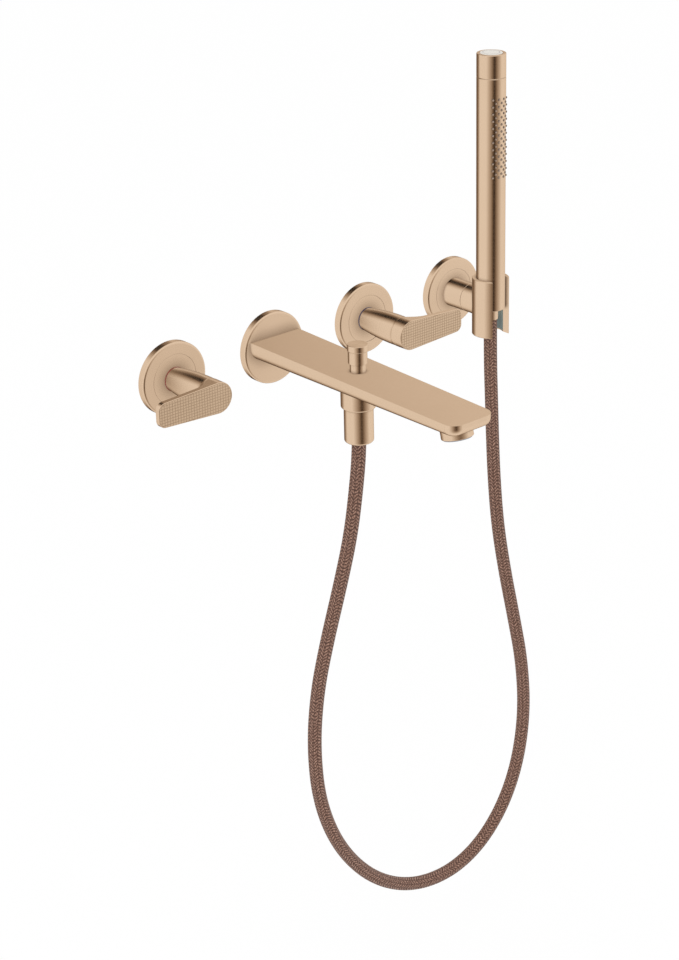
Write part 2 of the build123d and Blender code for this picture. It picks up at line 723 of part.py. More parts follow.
def collar_bottom():
    return collar_seat() - COLLAR_HEIGHT


def nipple_bottom():
    return collar_bottom() - NIPPLE_LENGTH


def tail_bottom():
    return nipple_bottom() - WASHER_DEPTH - TAIL_DEPTH


def hose_outlet():
    """The collar under the spout, with the threaded nipple that the hose nut screws on."""
    collar = rod(COLLAR_RADIUS, collar_bottom(), collar_seat())
    collar = fillet(end_edges(collar, top=False), COLLAR_EDGE)
    collar += rod(COLLAR_SPIGOT_RADIUS, collar_seat(), chamber_low())
    collar += rod(THREAD_RADIUS, nipple_bottom(), collar_bottom())
    collar -= rod(COLLAR_BORE, nipple_bottom(), chamber_low())
    return collar - rod(CHECK_VALVE_SEAT, nipple_bottom(), nipple_bottom() + CHECK_VALVE_LENGTH)


def hose_nut():
    """The round nut at the hose's lower end, with a shoulder that pulls the hose tail up."""
    top = collar_bottom() - NUT_GAP
    nut = rod(NUT_RADIUS, top - NUT_LENGTH, top)
    nut = fillet(end_edges(nut, top=False), NUT_EDGE)
    nut -= rod(NUT_BORE, tail_bottom(), top)
    return nut - rod(HOSE_RADIUS + HOSE_NUT_GAP, top - NUT_LENGTH, tail_bottom())


def hose_end_parts():
    """The pieces on the outlet's axis, by name."""
    low = nipple_bottom()
    washer_low = low - WASHER_DEPTH
    valve_radius = CHECK_VALVE_SEAT - SEAT_GAP
    return {
        "hose_outlet": hose_outlet(),
        "check_valve": tube(valve_radius, CHECK_VALVE_BORE, low, low + CHECK_VALVE_LENGTH),
        "hose_washer": tube(THREAD_RADIUS, WASHER_BORE, washer_low, low),
        "hose_tail": tube(THREAD_RADIUS, CHECK_VALVE_BORE, tail_bottom(), washer_low),
        "hose_nut": hose_nut(),
    }


def hose_route():
    start = (0, -DIVERTER_OUT, tail_bottom())
    end = (HOLDER_X, -HOLDER_OUT, FERRULE_BOTTOM)
    return [Vector(*point) for point in [start, *HOSE_MIDDLE, end]]


def bend_radii(points):
    """Each corner's radius: as large as its two runs allow."""
    radii = []
    for before, corner, after in zip(points, points[1:], points[2:]):
        turn = (corner - before).get_angle(after - corner)
        run = min((corner - before).length, (after - corner).length)
        radii.append(ARC_SHARE * run / tan(radians(turn / 2)))
    return radii


def shower_hose():
    points = hose_route()
    radii = bend_radii(points)
    path = FilletPolyline(*points, radius=radii)
    section = Plane(points[0], z_dir=points[1] - points[0]) * Circle(HOSE_RADIUS)
    hose = sweep(section, path=path)
    print("hose radii", [round(radius) for radius in radii])
    print("hose length", round(path.length), "volume ratio", hose.volume / section.area / path.length)
    return hose


def save_hose():
    for name, part in hose_end_parts().items():
        save(name, at_diverter(part))
    save("shower_hose", shower_hose())


# Hand shower holder


def at_holder(part):
    return Pos(HOLDER_X, -HOLDER_OUT, 0) * part


def slot_cutter():
    """The upright slot in the front of the holder that lets the hose in."""
    reach = 2 * SHELL_RADIUS
    height = 2 * (HOLDER_TOP - HOLDER_BOTTOM)
    return Box(2 * SLOT_HALF_WIDTH, reach, height, align=(Align.CENTER, Align.MAX, Align.CENTER))


def holder_shell():
    """The slotted sleeve, with a ledge round its lower half and the stub of the arm behind it."""
    sleeve = rod(SHELL_RADIUS, HOLDER_BOTTOM, HOLDER_TOP)
    sleeve = chamfer(end_edges(sleeve, top=True) + end_edges(sleeve, top=False), SHELL_EDGE)
    stub = rod(ARM_RADIUS, ARM_FRONT + ARM_SEAM, HOLDER_OUT)
    stub = chamfer(end_edges(stub, top=False), ARM_EDGE)
    shell = at_holder(sleeve) + at_station(HOLDER_X, stub)
    shell -= at_holder(rod(LEDGE_BORE, HOLDER_BOTTOM, HOLDER_TOP))
    shell -= at_holder(rod(SHELL_BORE, LEDGE_TOP, HOLDER_TOP))
    shell -= at_holder(slot_cutter())
    return shell - at_station(HOLDER_X, rod(STUD_HOLE, ARM_FRONT, STUD_FRONT))


def holder_liner():
    """The plastic liner inside the ledge, just proud of it, that the hand shower stands on."""
    liner = tube(LINER_RADIUS, LINER_RADIUS - LINER_WALL, HOLDER_BOTTOM + LINER_INSET, LINER_TOP)
    return at_holder(liner - slot_cutter())


def holder_arm():
    arm = rod(ARM_RADIUS, ROSETTE_DEPTH, ARM_FRONT)
    arm = chamfer(end_edges(arm, top=True), ARM_EDGE)
    arm -= rod(STUD_HOLE, ROSETTE_DEPTH, ARM_FRONT)
    return arm - set_screw(ARM_SCREW_OUT, 0, ARM_RADIUS)


def save_holder():
    hub_back = ROSETTE_DEPTH - ROSETTE_FRONT_WALL
    screw = set_screw(ARM_SCREW_OUT, STUD_RADIUS, STUD_RADIUS + SET_SCREW_LENGTH)
    save("holder_escutcheon", at_station(HOLDER_X, stepped_rosette()))
    save("holder_inner_disc", at_station(HOLDER_X, inner_disc(STUD_HOLE, hub_back)))
    stud = rod(ANCHOR_RADIUS, ANCHOR_BACK, 0) + rod(STUD_RADIUS, 0, STUD_FRONT)
    save("holder_stud", at_station(HOLDER_X, stud))
    save("holder_arm", at_station(HOLDER_X, holder_arm()))
    save("holder_screw", at_station(HOLDER_X, screw))
    save("holder_shell", holder_shell())
    save("holder_liner", holder_liner())


# Hand shower


def nozzle_spots():
    """The angle and height of every nozzle: columns round the front, every other one staggered."""
    middle = (NOZZLE_COLUMNS - 1) / 2
    for column in range(NOZZLE_COLUMNS):
        staggered = column % 2
        for row in range(NOZZLE_ROWS - staggered):
            yield (column - middle) * NOZZLE_ANGLE, NOZZLE_LOW + (row + staggered / 2) * NOZZLE_PITCH


def at_nozzle(angle, height, part):
    """Sets a part drawn along Z on the hand shower's axis so that it points out to the front."""
    return Pos(0, 0, height) * Rot(0, 0, angle) * Rot(90, 0, 0) * part


def nozzle_mat():
    """The silicone mat behind the wall, with a tapered nozzle through each hole."""
    radius = PLUG_RADIUS
    half_angle = NOZZLE_COLUMNS / 2 * NOZZLE_ANGLE
    low = NOZZLE_LOW - MAT_MARGIN
    height = (NOZZLE_ROWS - 1) * NOZZLE_PITCH + 2 * MAT_MARGIN
    wedge = Rot(0, 0, -90 - half_angle) * Cylinder(
        radius, height, arc_size=2 * half_angle, align=(Align.NONE, Align.NONE, Align.MIN)
    )
    mat = Pos(0, 0, low) * wedge - rod(radius - MAT_DEPTH, low, low + height)
    root = radius - MAT_DEPTH / 2
    length = HANDSET_RADIUS + NOZZLE_PROUD - root
    nozzle = Pos(0, 0, root) * extrude(RegularPolygon(NOZZLE_RADIUS, 6), length, taper=NOZZLE_TAPER)
    return mat + [at_nozzle(angle, spot, nozzle) for angle, spot in nozzle_spots()]


def handset_tube():
    """The hand shower's tube with a hole for every nozzle."""
    shell = rod(HANDSET_RADIUS, HANDSET_BOTTOM, HANDSET_SEAM)
    shell = chamfer(end_edges(shell, top=True) + end_edges(shell, top=False), SEAM_GROOVE)
    shell -= rod(HANDSET_BORE, HANDSET_BOTTOM, HANDSET_SEAM)
    hole = extrude(RegularPolygon(NOZZLE_RADIUS + NOZZLE_GAP, 6), HANDSET_RADIUS + HANDSET_WALL)
    return shell - [at_nozzle(angle, spot, hole) for angle, spot in nozzle_spots()]


def handset_connector():
    """The brass plug in the tube's lower end that turns on the hose's ferrule."""
    top = HANDSET_BOTTOM + CONNECTOR_LENGTH
    chamber_low, chamber_high = FLANGE_LOW - TURNING_GAP, FLANGE_HIGH + TURNING_GAP
    plug = rod(PLUG_RADIUS, HANDSET_BOTTOM, top)
    plug -= rod(FERRULE_RADIUS + TURNING_GAP, HANDSET_BOTTOM, chamber_low)
    plug -= rod(FLANGE_RADIUS + TURNING_GAP, chamber_low, chamber_high)
    return plug - rod(WATERWAY_BORE, chamber_high, top)


def hose_ferrule():
    """The sleeve at the hose's upper end, with the flange that the hand shower turns on."""
    ferrule = rod(FERRULE_RADIUS, FERRULE_BOTTOM, FLANGE_HIGH)
    ferrule += rod(FLANGE_RADIUS, FLANGE_LOW, FLANGE_HIGH)
    return ferrule - rod(WATERWAY_BORE, HANDSET_BOTTOM, FLANGE_HIGH)


def handset_head():
    """The head: a plug in the tube, a well for the button and a guide for the selector."""
    head = rod(HANDSET_RADIUS, HANDSET_SEAM, HANDSET_TOP)
    head = chamfer(end_edges(head, top=False), SEAM_GROOVE)
    head = fillet(end_edges(head, top=True), HANDSET_EDGE)
    head += rod(PLUG_RADIUS, HEAD_PLUG_BOTTOM, HANDSET_SEAM)
    head -= rod(WELL_RADIUS, WELL_FLOOR, HANDSET_TOP)
    return head - rod(SELECTOR_RADIUS + TURNING_GAP, HEAD_PLUG_BOTTOM, WELL_FLOOR)


def spray_button():
    """The push button: a shallow cup, open below, with softened edges."""
    button = rod(BUTTON_RADIUS, BUTTON_BOTTOM, BUTTON_TOP)
    button = fillet(end_edges(button, top=True), BUTTON_EDGE)
    return button - rod(BUTTON_RADIUS - BUTTON_WALL, BUTTON_BOTTOM, BUTTON_INSIDE)


def save_handset():
    waterway_radius = WATERWAY_BORE + WATERWAY_WALL
    waterway_low = HANDSET_BOTTOM + CONNECTOR_LENGTH
    spring_radius = BUTTON_RADIUS - BUTTON_WALL - SPRING_GAP
    parts = {
        "hose_ferrule": hose_ferrule(),
        "handset_connector": handset_connector(),
        "handset_tube": handset_tube(),
        "handset_waterway": tube(waterway_radius, WATERWAY_BORE, waterway_low, HEAD_PLUG_BOTTOM),
        "nozzle_mat": nozzle_mat(),
        "handset_head": handset_head(),
        "spray_button": spray_button(),
        "button_spring": tube(spring_radius, spring_radius - SPRING_WALL, WELL_FLOOR, BUTTON_INSIDE),
        "selector_stem": rod(SELECTOR_RADIUS, HEAD_PLUG_BOTTOM - SELECTOR_REACH, BUTTON_INSIDE),
    }
    for name, part in parts.items():
        save(name, at_holder(part))


os.makedirs("parts", exist_ok=True)
save_valves()
save_spout()
save_spout_fittings()
save_hose()
save_holder()
save_handset()
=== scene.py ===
import json
import math

import bpy
from mathutils import Matrix, Vector


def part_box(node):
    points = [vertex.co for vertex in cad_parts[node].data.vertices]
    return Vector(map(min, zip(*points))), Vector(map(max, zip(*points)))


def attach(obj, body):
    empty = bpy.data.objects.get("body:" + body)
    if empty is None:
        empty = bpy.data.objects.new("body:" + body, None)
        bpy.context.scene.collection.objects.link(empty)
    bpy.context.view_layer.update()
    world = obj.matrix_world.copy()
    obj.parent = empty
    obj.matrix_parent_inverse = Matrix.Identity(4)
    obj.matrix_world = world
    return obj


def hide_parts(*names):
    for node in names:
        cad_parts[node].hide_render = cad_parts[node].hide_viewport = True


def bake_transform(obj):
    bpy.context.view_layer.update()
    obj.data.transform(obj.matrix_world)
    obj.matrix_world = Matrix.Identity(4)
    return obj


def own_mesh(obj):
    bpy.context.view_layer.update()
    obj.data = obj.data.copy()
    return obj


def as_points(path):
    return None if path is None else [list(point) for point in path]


# The bath faucet's finish, braided hose, knurled lever fronts and button spring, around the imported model.
# The wall is Y = 0 and the room lies towards -Y. The object's sizes are in millimetres, the studio's are
# in metres, and the scales of textures are per metre.

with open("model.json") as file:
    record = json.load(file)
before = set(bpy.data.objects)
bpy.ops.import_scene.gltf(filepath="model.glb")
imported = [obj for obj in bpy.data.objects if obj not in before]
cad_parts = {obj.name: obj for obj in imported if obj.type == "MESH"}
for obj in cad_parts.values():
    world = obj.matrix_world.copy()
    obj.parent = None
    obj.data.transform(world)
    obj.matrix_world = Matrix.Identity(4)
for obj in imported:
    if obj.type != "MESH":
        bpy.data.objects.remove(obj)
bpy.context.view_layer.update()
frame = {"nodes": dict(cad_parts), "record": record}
NODES = frame["nodes"]
MM = 0.001

# Camera
IMAGE_SIZE = (679, 960)
CAMERA_AT = Vector((-1134.1, -1430.7, 681.9)) * MM
CAMERA_BACK = Vector((-0.6487, -0.6741, 0.3531))
FOCAL_PX = 2222.8
CENTRE_PX = (469.7, 350.0)
SENSOR_WIDTH = 36
CLIP_END = 50

# Floor and lamp
FLOOR_Z = -0.66
FLOOR_HALF = 6.0
FLOOR_SHADE = 0.97
FLOOR_WHITE_SHARE = 0.85
LAMP_AT = Vector((-1.4, -1.3, 1.6))
LAMP_TARGET = Vector((0.05, -0.05, -0.1))
LAMP_SIZE = 1.2
LAMP_POWER = 5

# Places: the stations stand side by side on the wall, and the hand shower hangs before the last one
STATION_PITCH = 107.5
OUTLET_Y = -117.4
AERATOR_Y = -235.8
HANDSET_X = 2 * STATION_PITCH
HANDSET_Y = -56.3

# Levers
LEVER_FRONT = 67.0
LEVER_ROUND_RADIUS = 13.65
LEVER_REACH = 60.5
LEVER_TIP_HALF_HEIGHT = 10.8
LEVER_TIP_CORNER = 6.5
LEVER_TIP_STEPS = 10
LEVER_ROUND_STEPS = 40
KNURL_INSET = 0.7
KNURL_PITCH = (2.7, 2.42)
KNURL_GAP = (0.55, 0.3)
KNURL_HEIGHT = 0.4
KNURL_SINK = 0.04
KNURL_TOP_SHARE = 0.82
GROOVE_INSET = 0.5
GROOVE_HEIGHT = 0.06

# Hose
HOSE_RADIUS = 6.2
HOSE_SIDES = 28
HOSE_STEP = 3.5
ROUTE_RESOLUTION = 24
HOSE_ROUTE = [
    (0, OUTLET_Y, -40.88),
    (0, OUTLET_Y, -62),
    (-4, -116.8, -98),
    (-8.5, -113.5, -142),
    (-16.5, -107, -190.5),
    (-26, -100, -240.5),
    (-34, -93.5, -292.5),
    (-36, -89, -350),
    (-29.5, -87.5, -411),
    (-7, -87, -468.5),
    (31, -87, -517.5),
    (77, -87, -548.5),
    (125.5, -87, -558.5),
    (168.5, -86.5, -548.5),
    (203, -86, -519.5),
    (226.5, -84.5, -478.5),
    (238.5, -82, -426),
    (238, -78.5, -371),
    (230.5, -74, -320),
    (222.5, -69.5, -270),
    (217, -65, -221),
    (215.8, -61.2, -174),
    (216, -58.6, -132),
    (216, -57, -92),
    (HANDSET_X, HANDSET_Y, -52),
    (HANDSET_X, HANDSET_Y, -13.4),
]
HOSE_BLEND = [(5, 0, 0), (213, 0, 0)]
BRAID_ROWS = 10
BRAID_STITCHES = 300
BRAID_LEAN = 1.1
BRAID_UNEVEN = 1.6
BRAID_UNEVEN_SCALE = (130, 16, 1)
BRAID_SPECK_SCALE = (700, 40, 1)

# Spray button
BUTTON_RING_RADIUS = 7.6
BUTTON_RING_WIDTH = 0.9
BUTTON_TRAVEL = 2.5
SPRING_WIRE = 1.0
SPRING_TURNS = 3.5
SPRING_STEPS = 112
SPRING_SIDES = 10


def srgb(red, green, blue):
    """A colour given as on a screen, 0 to 255, as the linear values that shaders take."""
    def linear(value):
        value /= 255
        return value / 12.92 if value <= 0.04045 else ((value + 0.055) / 1.055) ** 2.4
    return (linear(red), linear(green), linear(blue), 1.0)


# Materials

# How fine the marks of turning are along the axis and across it, and the clouds in the tones.
MARKS_ALONG_AXIS = 2600
MARKS_ACROSS_AXIS = 90
METAL_CLOUDS = 30
PLASTIC_CLOUDS = 60
# Painted shade in corners: what corners keep of the bronze's colour, and how open a surface is where the
# painted shade is darkest and lightest.
CORNER = (0.215, 0.16, 0.117)
CORNER_SPAN = (0.2, 0.9)
OPEN_SAMPLES = 8
NOZZLE_SHADE_REACH = 2
# The bronze's reflection at a glancing angle.
EDGE_TINT = (0.86, 0.77, 0.68, 1.0)


class Nodes:
    """A short way to write a node tree. Inputs are named or numbered as Blender does."""

    def __init__(self, tree):
        self.tree = tree
        tree.nodes.clear()

    def add(self, kind, inputs=None, **settings):
        node = self.tree.nodes.new(kind)
        for name, value in settings.items():
            setattr(node, name, value)
        for name, value in (inputs or {}).items():
            self.feed(node.inputs[name], value)
        return node

    def feed(self, socket, value):
        if isinstance(value, bpy.types.NodeSocket):
            self.tree.links.new(value, socket)
        else:
            socket.default_value = value

    def math(self, operation, a, b=0.0, c=0.0):
        node = self.add("ShaderNodeMath", {0: a, 1: b, 2: c}, operation=operation)
        return node.outputs[0]

    def mix(self, factor, a, b):
        """A mix of two colours. The node's sockets for these are 6 and 7, and its colour comes out of 2."""
        node = self.add("ShaderNodeMix", data_type="RGBA")
        for index, value in ((0, factor), (6, a), (7, b)):
            self.feed(node.inputs[index], value)
        return node.outputs[2]

    def span(self, value, low, high, to_low=0.0, to_high=1.0, kind="SMOOTHSTEP"):
        inputs = {0: value, 1: low, 2: high, 3: to_low, 4: to_high}
        node = self.add("ShaderNodeMapRange", inputs, interpolation_type=kind)
        return node.outputs[0]

    def noise(self, vector, scale, detail=3.0):
        inputs = {"Vector": vector, "Scale": scale, "Detail": detail}
        return self.add("ShaderNodeTexNoise", inputs).outputs["Fac"]

    def between(self, noise, low, high):
        """A value that goes from low to high over the middle of a noise's range."""
        return self.span(noise, 0.3, 0.7, low, high)

    def scaled(self, vector, scale):
        return self.add("ShaderNodeMapping", {"Vector": vector, "Scale": scale}).outputs[0]

    def stretched(self, scale):
        """Object coordinates, stretched by a scale along each axis."""
        return self.scaled(self.add("ShaderNodeTexCoord").outputs["Object"], scale)

    def vector_math(self, operation, a, b, output=0):
        return self.add("ShaderNodeVectorMath", {0: a, 1: b}, operation=operation).outputs[output]

    def painted_shade_openness(self, distance, alone=False):
        """How open the surface is within a distance, to all that is near or to its own piece alone, for
        painting shade.
        """
        settings = {"samples": OPEN_SAMPLES, "only_local": alone}
        return self.add("ShaderNodeAmbientOcclusion", {"Distance": distance}, **settings).outputs["AO"]

    def bump(self, height, strength, distance):
        inputs = {"Height": height, "Strength": strength, "Distance": distance}
        return self.add("ShaderNodeBump", inputs).outputs[0]

    def surface(self, **inputs):
        """Ends the tree in one principled shader. Names use _ for a space."""
        named = {name.replace("_", " "): value for name, value in inputs.items()}
        shader = self.add("ShaderNodeBsdfPrincipled", named)
        out = self.add("ShaderNodeOutputMaterial")
        self.tree.links.new(shader.outputs[0], out.inputs[0])


def new_material(name):
    material = bpy.data.materials.new(name)
    material.use_nodes = True
    return material, Nodes(material.node_tree)


def turned_metal(name, colour, darker, roughness, axis, behind, near, alone):
    """Plated metal with fine turning marks about an axis, which runs from a point behind the piece.

    The marks spread reflections along the axis on the sides and outwards on the faces. Painted
    shade darkens the metal where metal is near, or its own metal alone.
    """
    material, n = new_material(name)
    place = n.add("ShaderNodeTexCoord").outputs["Object"]
    outward = n.vector_math("SUBTRACT", place, Vector(behind) * MM)
    spread = n.add("ShaderNodeVectorTransform", {0: outward}, convert_from="OBJECT", convert_to="WORLD")
    scale = tuple(MARKS_ALONG_AXIS if letter == axis else MARKS_ACROSS_AXIS for letter in "XYZ")
    marks = n.noise(n.stretched(scale), 1.0, 4.0)
    plated = n.mix(n.noise(place, METAL_CLOUDS), colour, darker)
    # Painted shade: where metal is near, the colour goes towards this darker corner tone.
    corner = tuple(share * value for share, value in zip(CORNER, darker[:3])) + (1.0,)
    painted_shade_mask = n.span(n.painted_shade_openness(near * MM, alone), *CORNER_SPAN, kind="LINEAR")
    n.surface(
        Base_Color=n.mix(painted_shade_mask, corner, plated),
        Metallic=1.0,
        Roughness=n.between(marks, roughness - 0.03, roughness + 0.03),
        Specular_Tint=EDGE_TINT,
        Anisotropic=0.5,
        Tangent=spread.outputs[0],
        Normal=n.bump(marks, 0.02, 0.03 * MM),
    )
    return material


def brushed_metal(name, colour, darker, roughness, scale):
    """Plain metal with fine brush lines, which run along the axis of the smallest scale."""
    material, n = new_material(name)
    lines = n.noise(n.stretched(scale), 1.0, 4.0)
    base = n.mix(n.noise(n.stretched((1, 1, 1)), METAL_CLOUDS), colour, darker)
    rough = n.between(lines, roughness - 0.05, roughness + 0.06)
    n.surface(Base_Color=base, Metallic=1.0, Roughness=rough, Normal=n.bump(lines, 0.12, 0.08 * MM))
    return material


def moulded(name, colour, darker, roughness, grain, depth):
    """Plastic, rubber or ceramic with a faint grain and a cloudy tone."""
    material, n = new_material(name)
    fine = n.noise(n.stretched((1, 1, 1)), grain)
    rough = n.between(fine, roughness - 0.06, roughness + 0.06)
    base = n.mix(n.noise(n.stretched((1, 1, 1)), PLASTIC_CLOUDS), colour, darker)
    n.surface(Base_Color=base, Roughness=rough, Normal=n.bump(fine, 0.2, depth * MM))
    return material


def braided():
    """The hose's braid: V-shaped stitches in rows along the hose, under a satin sheath."""
    material, n = new_material("hose_braid")
    place = n.add("ShaderNodeUVMap", uv_map="braid").outputs[0]
    split = n.add("ShaderNodeSeparateXYZ", {0: place})
    along, around = split.outputs[0], split.outputs[1]
    side = n.math("PINGPONG", n.math("MULTIPLY", around, BRAID_ROWS), 1.0)
    uneven = n.noise(n.scaled(place, BRAID_UNEVEN_SCALE), 1.0)
    lean = n.math("MULTIPLY_ADD", side, BRAID_LEAN, n.math("MULTIPLY", uneven, BRAID_UNEVEN))
    stitch = n.math("FRACT", n.math("MULTIPLY_ADD", along, BRAID_STITCHES, lean))
    ridge = n.math("PINGPONG", n.math("MULTIPLY", stitch, 2.0), 1.0)
    spine = n.math("PINGPONG", n.math("MULTIPLY", side, 2.0), 1.0)
    height = n.math("MULTIPLY", n.span(ridge, 0.1, 0.75), n.span(spine, 0.0, 0.5, 0.35, 1.0))
    speck = n.noise(n.scaled(place, BRAID_SPECK_SCALE), 1.0)
    thread = n.mix(n.span(speck, 0.4, 0.62), srgb(120, 85, 70), srgb(186, 147, 128))
    n.surface(
        Base_Color=n.mix(height, srgb(78, 53, 43), thread),
        Roughness=n.span(height, 0.0, 1.0, 0.65, 0.42),
        Normal=n.bump(height, 0.55, 0.6 * MM),
        Specular_IOR_Level=0.3,
    )
    return material


def silicone():
    """The nozzles' rubber, with painted shade at the foot of each nozzle."""
    material, n = new_material("silicone")
    fine = n.noise(n.stretched((1, 1, 1)), 1500)
    # Painted shade: the rubber darkens to the dark tone below where other surfaces are near its foot.
    painted_shade_mask = n.span(n.painted_shade_openness(NOZZLE_SHADE_REACH * MM), 0.55, 0.95)
    n.surface(
        Base_Color=n.mix(painted_shade_mask, srgb(52, 38, 29), srgb(158, 134, 114)),
        Roughness=n.between(fine, 0.4, 0.5),
        Normal=n.bump(fine, 0.2, 0.03 * MM),
    )
    return material


def printed_button():
    """White plastic with a thin grey ring printed on its top."""
    material, n = new_material("button_white")
    place = n.add("ShaderNodeTexCoord").outputs["Object"]
    level = n.vector_math("MULTIPLY", place, (1, 1, 0))
    reach = n.vector_math("DISTANCE", level, Vector((HANDSET_X, HANDSET_Y, 0)) * MM, "Value")
    apart = n.math("ABSOLUTE", n.math("SUBTRACT", reach, BUTTON_RING_RADIUS * MM))
    half = BUTTON_RING_WIDTH * MM / 2
    fine = n.noise(place, 900)
    n.surface(
        Base_Color=n.mix(n.span(apart, 0.6 * half, half), srgb(168, 164, 162), srgb(228, 224, 216)),
        Roughness=n.between(fine, 0.32, 0.4),
        Normal=n.bump(fine, 0.2, 0.02 * MM),
    )
    return material


# Slots of plain pieces: the material's name, two tones, the roughness, the grain and its depth.
MOULDED = {
    "ceramic": ("ceramic", srgb(238, 234, 226), srgb(226, 222, 214), 0.25, 900, 0.02),
    "seal": ("rubber", srgb(38, 38, 40), srgb(28, 28, 30), 0.6, 1500, 0.05),
    "hot_mark": ("hot_mark", srgb(158, 74, 58), srgb(144, 64, 50), 0.35, 900, 0.02),
    "cold_mark": ("cold_mark", srgb(74, 62, 92), srgb(62, 52, 80), 0.35, 900, 0.02),
    "aerator": ("aerator_grey", srgb(150, 156, 168), srgb(136, 142, 156), 0.35, 900, 0.03),
    "inner_plastic": ("inner_plastic", srgb(226, 226, 222), srgb(214, 214, 210), 0.5, 900, 0.03),
    "liner": ("liner_grey", srgb(152, 172, 170), srgb(138, 158, 156), 0.4, 1200, 0.04),
}


def make_materials():
    """One material for each slot but the bronze one."""
    along_y, along_z = (2500, 60, 2500), (2500, 2500, 60)
    made = {slot: moulded(*row) for slot, row in MOULDED.items()}
    made["brass"] = brushed_metal("brass", srgb(214, 176, 102), srgb(196, 158, 90), 0.3, along_y)
    made["screw"] = brushed_metal("stainless", srgb(190, 190, 192), srgb(170, 170, 174), 0.3, along_z)
    made["nozzle"] = silicone()
    made["button"] = printed_button()
    made["hose"] = braided()
    return made


# Two tones of bronze and the roughness, for plain faces, for the knurl and for the ground between, whose
# darker tones are painted shade.
BRONZE = [srgb(224, 196, 168), srgb(219, 191, 162), 0.21]
KNURL = [srgb(214, 187, 159), srgb(209, 182, 153), 0.21]
# Painted shade: the ground's darker tones stand for shade between the knurl's squares.
GROOVE = [srgb(182, 155, 128), srgb(174, 147, 120), 0.32]

# The axes that the bronze pieces were turned about: the axis, a point on it behind the piece, how
# far away metal casts painted shade on the piece, whether only the piece's own metal does so, and how
# the names of its pieces begin. The first row that fits a name counts.
BEHIND_WALL = 100
FAR_BELOW = -900
WALL_NEAR = 16
LEVER_NEAR = 10
PIECE_NEAR = 4
HOT_AXIS = ("Y", (-STATION_PITCH, BEHIND_WALL, 0))
SPOUT_AXIS = ("Y", (0, BEHIND_WALL, 0))
COLD_AXIS = ("Y", (STATION_PITCH, BEHIND_WALL, 0))
ARM_AXIS = ("Y", (HANDSET_X, BEHIND_WALL, 0))
HANDSET_AXIS = ("Z", (HANDSET_X, HANDSET_Y, FAR_BELOW))
DIVERTER_AXIS = ("Z", (0, OUTLET_Y, FAR_BELOW))
AERATOR_AXIS = ("Z", (0, AERATOR_Y, FAR_BELOW))
TURNED = {
    "hot_wall": (*HOT_AXIS, WALL_NEAR, False, ("hot_escutcheon", "hot_inner_disc")),
    "cold_wall": (*COLD_AXIS, WALL_NEAR, False, ("cold_escutcheon", "cold_inner_disc")),
    "spout_wall": (*SPOUT_AXIS, WALL_NEAR, False, ("spout_escutcheon",)),
    "arm_wall": (*ARM_AXIS, WALL_NEAR, False, ("holder_escutcheon", "holder_inner_disc")),
    "hot": (*HOT_AXIS, LEVER_NEAR, True, ("hot_",)),
    "cold": (*COLD_AXIS, LEVER_NEAR, True, ("cold_",)),
    "spout": (*SPOUT_AXIS, PIECE_NEAR, False, ("spout_",)),
    "arm": (*ARM_AXIS, PIECE_NEAR, False, ("holder_arm",)),
    "handset": (*HANDSET_AXIS, PIECE_NEAR, False, ("handset_", "holder_shell", "hose_ferrule")),
    "diverter": (*DIVERTER_AXIS, PIECE_NEAR, False, ("diverter_", "hose_")),
    "aerator": (*AERATOR_AXIS, PIECE_NEAR, False, ("aerator_",)),
}


def make_bronze():
    """One bronze for each axis."""
    made = {}
    for name, row in TURNED.items():
        made[name] = turned_metal(f"bronze_{name}", *BRONZE, *row[:-1])
    return made


def dress_nodes(materials, bronze):
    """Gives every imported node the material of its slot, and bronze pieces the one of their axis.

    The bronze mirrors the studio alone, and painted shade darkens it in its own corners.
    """
    for part in frame["record"]["subparts"]:
        name = part["node"]
        material = materials.get(part["material_slot"])
        if material is None:
            material = next(bronze[key] for key, row in TURNED.items() if name.startswith(row[-1]))
        mesh = NODES[name].data
        NODES[name].visible_glossy = False
        mesh.materials.clear()
        mesh.materials.append(material)


# Pieces


def new_object(name, data):
    """An object in the scene, which the metal doesn't mirror."""
    piece = bpy.data.objects.new(name, data)
    piece.visible_glossy = False
    bpy.context.scene.collection.objects.link(piece)
    return piece


def mesh_from(name, verts, faces, material, smooth=False):
    mesh = bpy.data.meshes.new(name)
    mesh.from_pydata(verts, [], faces)
    mesh.materials.append(material)
    mesh.polygons.foreach_set("use_smooth", [smooth] * len(mesh.polygons))
    mesh.update()
    return mesh


def route_points():
    """Points along the hose's centre line, read from a smooth spline through its route."""
    curve = bpy.data.curves.new("hose_route", "CURVE")
    curve.dimensions = "3D"
    curve.resolution_u = ROUTE_RESOLUTION
    spline = curve.splines.new("NURBS")
    spline.points.add(len(HOSE_ROUTE) - 1)
    for point, place in zip(spline.points, HOSE_ROUTE):
        point.co = (*(Vector(place) * MM), 1.0)
    spline.order_u = 3
    spline.use_endpoint_u = True
    line = bpy.data.objects.new("hose_route", curve)
    mesh = bpy.data.meshes.new_from_object(line)
    points = [vertex.co.copy() for vertex in mesh.vertices]
    bpy.data.objects.remove(line)
    bpy.data.curves.remove(curve)
    bpy.data.meshes.remove(mesh)
    return points


def evenly(points, step):
    """The points thinned to about one every step, with both ends kept."""
    kept = [points[0]]
    for point in points[1:-1]:
        if (point - kept[-1]).length >= step:
            kept.append(point)
    if (points[-1] - kept[-1]).length < step / 2:
        kept.pop()
    return kept + [points[-1]]


def rings_along(points, radius, sides):
    """A ring of corners round each point, turned as little as possible from one to the next."""
    side = Vector((1, 0, 0))
    rings = []
    for index, point in enumerate(points):
        before, after = points[max(index - 1, 0)], points[min(index + 1, len(points) - 1)]
        ahead = (after - before).normalized()
        side = (side - ahead * side.dot(ahead)).normalized()
        up = ahead.cross(side)
        ring = []
        for corner in range(sides):
            angle = 2 * math.pi * corner / sides
            ring.append(point + (side * math.cos(angle) + up * math.sin(angle)) * radius)
        rings.append(ring)
    return rings


